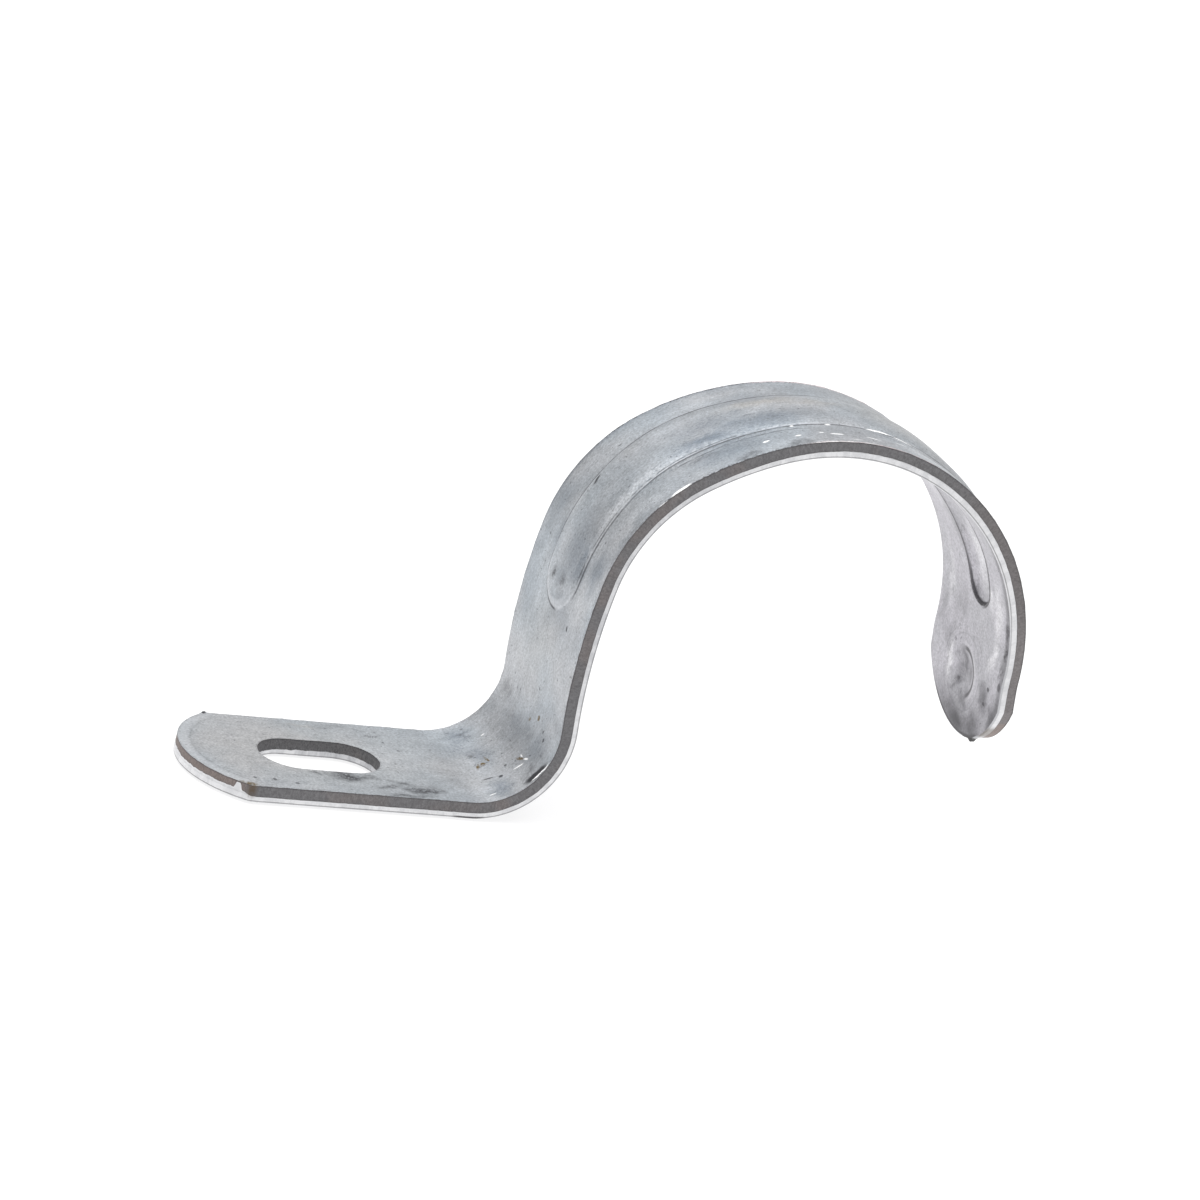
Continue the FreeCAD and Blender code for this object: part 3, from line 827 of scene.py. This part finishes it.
def makeWallZinc():
    # the same coat on the face towards the conduit, a little warmer
    paint = Paint("wallZinc")
    place, flat, spot = stripPlace(paint)
    fold, rimAt, smudged, shadeAndDull, _, highlightAndPale = faceMaps(paint)
    along, across = paint.part(place, 0), paint.part(place, 1)
    cloud = paint.noise(flat, wallZinc["cloudSize"], 3.0, 0.5, seed=2.2)
    mottle = paint.noise(flat, wallZinc["mottleSize"], 3.0, 0.6, seed=6.3)
    grain = paint.noise(flat, wallZinc["grainSize"], 2.0, 0.75, seed=4.1)
    drawn = paint.noise(flat, wallZinc["drawnSize"], 2.0, 0.5, (0.06, 1, 1), seed=8.3)
    colour = paint.mix(paint.step(cloud, 0.4, 0.6), wallZinc["base"], wallZinc["lilac"])
    uneven = 0.85 + mottle * 0.3
    # painted shade down the toe and in the dimple, painted highlight on the dimple's far side
    colour = paint.mix(shadeAndDull * uneven, colour, wallZinc["shade"])
    colour = paint.mix(highlightAndPale * uneven, colour, wallZinc["pale"])
    nearRim = paint.step(rimAt, 1.5, 0.6) * paint.step(across, -6.5, -8.0)
    nearRim = nearRim * paint.step(along, 114.0, 126.0)
    colour = paint.mix(nearRim * uneven * 0.55, colour, wallZinc["shade"])
    value = 0.12 + grain * 1.1 + mottle * 0.42 + drawn * 0.16
    colour = paint.mix(1.0, colour, value, "MULTIPLY")
    # rings the press left round the dimple, the groove's creases, and painted shade in the dimple's
    # hollow, on the groove's far wall and on the steep wall at its end
    fromMiddle = paint.vectors("SUBTRACT", flat, (*dimple["middle"], 0))
    middleAway = paint.vectors("LENGTH", fromMiddle, outlet=1)
    toeSide = paint.step(along, 134.0, 135.5)
    inner, outer = [paint.band(middleAway, away, 0.03, 0.14) for away in wallZinc["ringsAway"]]
    rings = paint.most(inner * 0.2, outer * 0.14)
    crease = paint.band(fold, 0.0, 0.05, 0.16)
    nearTop = paint.step(across + along * 0.4, 56.7, 55.2)
    biteShade = paint.band(fold, 0.25, 0.12, 0.22) * toeSide * nearTop
    biteShade = biteShade * paint.step(across, 2.4, 0.4, 0.3, 1.0)
    endWallShade = paint.band(fold, 0.14, 0.05, 0.17) * paint.step(along, 124.5, 128.2) * (1 - toeSide)
    endWallShade = endWallShade * paint.step(across, -3.6, -1.8, 0.25, 1.0)
    farWallShade = paint.band(fold, 0.1, 0.03, 0.22) * paint.step(across, 0.6, 1.2) * (1 - toeSide)
    nearWall = paint.band(fold, -0.2, 0.12, 0.2) * paint.step(across, -1.5, -3.0)
    nearWall = nearWall * paint.band(along, *wallZinc["nearWallAt"])
    # painted shade along the rim of the toe's tip, which faces down
    tipRimShade = paint.step(rimAt, 0.6, 0.2) * paint.step(along, 143.0, 145.0)
    tipRimShade = tipRimShade * paint.step(across, -6.0, -4.6)
    lines = paint.most(crease * (0.8 - toeSide * 0.8), rings * toeSide, biteShade * 0.85, endWallShade * 0.9)
    lines = paint.most(lines, farWallShade * 0.5, nearWall * 0.85, tipRimShade)
    # painted highlight just outside the dimple's crease
    ringHighlight = paint.band(fold, -0.28, 0.06, 0.2) * toeSide * nearTop
    colour = paint.mix(ringHighlight * 0.2, colour, wallZinc["pale"])
    # crease lines, rings and the painted shade, darkened toward dirt
    colour = paint.mix(lines, colour, wallZinc["dirtAndShade"])
    patchy = paint.step(paint.noise(flat, 0.5, 3.0, 0.7, seed=3.9), 0.34, 0.6)
    colour = paint.mix(smudged * (0.35 + patchy * 0.65), colour, wallZinc["dirtAndShade"])
    colour = paint.mix(paint.marks(spot, wallZinc["darks"]), colour, wallZinc["dirtAndShade"])
    specks = paint.step(paint.noise(flat, 0.6, 2.0, 0.6, seed=15.1), 0.69, 0.75)
    colour = paint.mix(specks * 0.5, colour, wallZinc["dirtAndShade"])
    bare = paint.step(rimAt, 0.3, 0.05) * paint.step(mottle, 0.4, 0.6)
    bare = bare * (1 - tipRimShade) * (0.22 - nearRim * 0.2)
    colour = paint.mix(bare, colour, wallZinc["pale"])
    rough = wallZinc["roughness"] + (cloud - 0.5) * 0.15 + (grain - 0.5) * 0.2
    metal = wallZinc["metallic"] - lines * 0.6
    height = grain * 0.02 + mottle * 0.03 + drawn * 0.01
    return paint.finish(colour, rough, metal, height, wallZinc["bump"])


shearedEdge = {
    "torn": tone(112, 111, 113),
    "tornBrown": tone(132, 118, 112),
    "smeared": tone(228, 228, 230),
    "smearedDull": tone(176, 177, 181),
    "line": tone(66, 64, 66),
    # painted shade on the spur at the toe's tip
    "spur": tone(30, 28, 30),
    "rust": tone(92, 76, 58),
    "lowCut": -0.27,             # w of the torn part's end from the foot to the arch, round the
    "footCut": 0.12,             # foot's tip, and in the slot
    "slotCut": -0.2,
    "slotDip": 0.14,             # lower by this in the slot's outer end
    "roughness": 0.62,           # of the torn part
    "metallic": 0.3,
    "bump": 0.7,
    "wanderSize": 1.1,
    "grainSize": 0.2,
    "brownSize": 5.0,
    "dullAt": (68.0, 12.0, 8.0),         # along the strip: middle, reach and soft width
    "heelAt": (30.8, 1.0, 1.2),
    # spots: s, y, reach along, reach across, turn, softness
    "tab": (4.45, -9.0, 0.42, 1.2, 0, 0.7),
    "tip": (146.2, -3.5, 1.9, 2.0, 0, 0.5),
    "toeWash": (144.4, -7.6, 2.4, 2.2, 0, 0.6),
    "rustAt": (5.8, -10.0, 0.8, 2.0, 0, 0.8),
}


def makeShearedEdge():
    # dark torn steel above and bright smeared zinc below, with dirt, painted shade and rust at places
    paint = Paint("shearedEdge")
    place, flat, spot = stripPlace(paint)
    along, across, w = [paint.part(place, axis) for axis in range(3)]
    wander = paint.noise(place, shearedEdge["wanderSize"], 3.0, 0.7, (1, 1, 0.4), seed=1.3)
    grain = paint.noise(place, shearedEdge["grainSize"], 3.0, 0.75, (1, 1, 0.6), seed=6.1)
    brown = paint.noise(place, shearedEdge["brownSize"], 2.0, 0.5, seed=9.4)
    atFoot = paint.step(along, 5.9, 4.6)
    atToe = paint.step(along, 141.4, 142.6)
    onToe = paint.step(along, 126.0, 134.0)
    inSlot = paint.band(across, 0.0, 4.3, 0.3) * paint.band(along, slot["middle"], 7.0, 0.4)
    # how far down the torn part reaches, and the white tab that reaches up through it
    cut = paint.step(along, 84.0, 98.0, shearedEdge["lowCut"], edge["cut"])
    cut = cut + atFoot * (shearedEdge["footCut"] - shearedEdge["lowCut"])
    dip = paint.step(along, 16.0, 12.0) * shearedEdge["slotDip"]
    cut = cut + inSlot * (shearedEdge["slotCut"] - shearedEdge["lowCut"] - dip)
    cut = cut + paint.blob(spot, *shearedEdge["tab"]) * (0.45 + wander * 0.5)
    away = w - cut + (wander - 0.5) * (0.16 + atFoot * 0.35 + inSlot * 0.2)
    smeared = paint.step(away, 0.03, -0.04)
    brownness = paint.most(
        paint.step(brown, 0.5, 0.75) * 0.3, atFoot * 0.7, atToe * 0.7, paint.step(along, 108.0, 118.0) * 0.2
    )
    tornColour = paint.mix(brownness, shearedEdge["torn"], shearedEdge["tornBrown"])
    value = 0.2 + grain * 1.6 - inSlot * 0.26 + onToe * 0.3
    tornColour = paint.mix(1.0, tornColour, value, "MULTIPLY")
    topLine = paint.step(w + (wander - 0.5) * 0.12, half - 0.2, half - 0.02)
    tornColour = paint.mix(topLine * 0.6, tornColour, shearedEdge["line"])
    down = paint.noise(place, 1.3, 4.0, 0.65, (1, 1, 0.15), seed=14.2)
    dull = paint.step(wander, 0.62, 0.36) * 0.35 + inSlot * paint.step(down, 0.42, 0.66) * 0.5
    dull = dull + inSlot * paint.step(along, 14.0, 19.0) * 0.35
    dull = dull + paint.band(along, *shearedEdge["dullAt"]) * 0.3
    brightColour = paint.mix(dull, shearedEdge["smeared"], shearedEdge["smearedDull"])
    rollFrom = edge["rollover"] - half
    # painted shade line where the edge starts to roll over
    rollShadeLine = paint.band(w + (wander - 0.5) * 0.08, rollFrom, 0.02, 0.08)
    brightColour = paint.mix(rollShadeLine * (0.7 - onToe * 0.45), brightColour, shearedEdge["torn"])
    rolled = paint.step(w, rollFrom + 0.03, rollFrom - 0.05) * onToe
    brightColour = paint.mix(rolled * 0.7, brightColour, shearedEdge["smearedDull"])
    colour = paint.mix(smeared, tornColour, brightColour)
    betweenLine = paint.band(away, 0.03, 0.01, 0.06) * (1 - inSlot)
    colour = paint.mix(betweenLine * 0.5, colour, shearedEdge["line"])
    # painted shade where the heel touches down and on the spur at the toe's tip, and rust at the
    # foot's near corner and the toe's
    heelShade = paint.step(w, 0.32 - half, 0.2 - half) * paint.band(along, *shearedEdge["heelAt"])
    colour = paint.mix(heelShade * 0.85, colour, shearedEdge["line"])
    tip = paint.blob(flat, *shearedEdge["tip"]) * paint.step(w, 0.3, -0.3)
    colour = paint.mix(tip, colour, shearedEdge["spur"])
    toeWash = paint.blob(flat, *shearedEdge["toeWash"]) * smeared
    colour = paint.mix(toeWash * 0.6, colour, shearedEdge["rust"])
    rust = paint.blob(spot, *shearedEdge["rustAt"]) * paint.step(w, -0.8, 0.3) * paint.step(grain, 0.3, 0.5)
    colour = paint.mix(rust * 0.8, colour, shearedEdge["rust"])
    rough = shearedEdge["roughness"] - smeared * 0.16 + (grain - 0.5) * 0.2
    metal = shearedEdge["metallic"] + smeared * 0.35 - tip * 0.65
    height = grain * (0.09 - smeared * 0.05) + wander * 0.03
    return paint.finish(colour, rough, metal, height, shearedEdge["bump"])


for material in (makeOuterZinc(), makeWallZinc(), makeShearedEdge()):
    strapMesh.materials.append(material)
print("materials:", [m.name for m in strapMesh.materials])

camera = {
    "place": (-0.21408, -0.54925, 0.22557),
    "right": (0.92005, -0.32576, 0.21768),
    "up": (-0.0845, 0.37754, 0.92213),
    "lens": 173.27,
}

eye = bpy.data.objects.new("eye", bpy.data.cameras.new("eye"))
bpy.context.scene.collection.objects.link(eye)
right = Vector(camera["right"]).normalized()
back = right.cross(Vector(camera["up"])).normalized()
up = back.cross(right)
turned = Matrix((right, up, back)).transposed().to_4x4()
eye.matrix_world = Matrix.Translation(camera["place"]) @ turned
eye.data.lens = camera["lens"]
eye.data.sensor_width = 36
bpy.context.scene.camera = eye

studio = {
    "floorDrop": 0.0003,
    "floorReach": 4.0,
    "floorGlow": 0.78,           # a lit table, so the strap hardly darkens it
    "world": 0.5,
    "lamps": (
        # name, place, aim, size, watts
        ("overhead", (-0.1, 0.1, 1.4), (0.03, 0, 0.02), 2.4, 34.0),
    ),
}

floorMesh = bpy.data.meshes.new("floor")
reach = studio["floorReach"]
corners = ((-reach, -reach), (reach, -reach), (reach, reach), (-reach, reach))
floorMesh.from_pydata([(x, y, -studio["floorDrop"]) for x, y in corners], [], [(0, 1, 2, 3)])
floor = bpy.data.objects.new("floor", floorMesh)
bpy.context.scene.collection.objects.link(floor)
floorPaint = Paint("paleFloor")
floorPaint.output(floorPaint.node("ShaderNodeBsdfPrincipled", {}, {
    "Base Color": (0.3, 0.3, 0.3, 1), "Roughness": 0.9, "Specular IOR Level": 0.1,
    "Emission Color": (1, 1, 1, 1), "Emission Strength": studio["floorGlow"],
}))
floorMesh.materials.append(floorPaint.material)

world = bpy.data.worlds.new("studio")
world.use_nodes = True
world.node_tree.nodes["Background"].inputs[0].default_value = (1, 1, 1, 1)
world.node_tree.nodes["Background"].inputs[1].default_value = studio["world"]
bpy.context.scene.world = world

for name, place, aim, size, watts in studio["lamps"]:
    lamp = bpy.data.objects.new(name, bpy.data.lights.new(name, "AREA"))
    lamp.data.size = size
    lamp.data.energy = watts
    lamp.location = place
    lamp.rotation_euler = (Vector(aim) - Vector(place)).to_track_quat("-Z", "Y").to_euler()
    bpy.context.scene.collection.objects.link(lamp)
bpy.context.scene.view_settings.view_transform = "Standard"
print("studio ready")
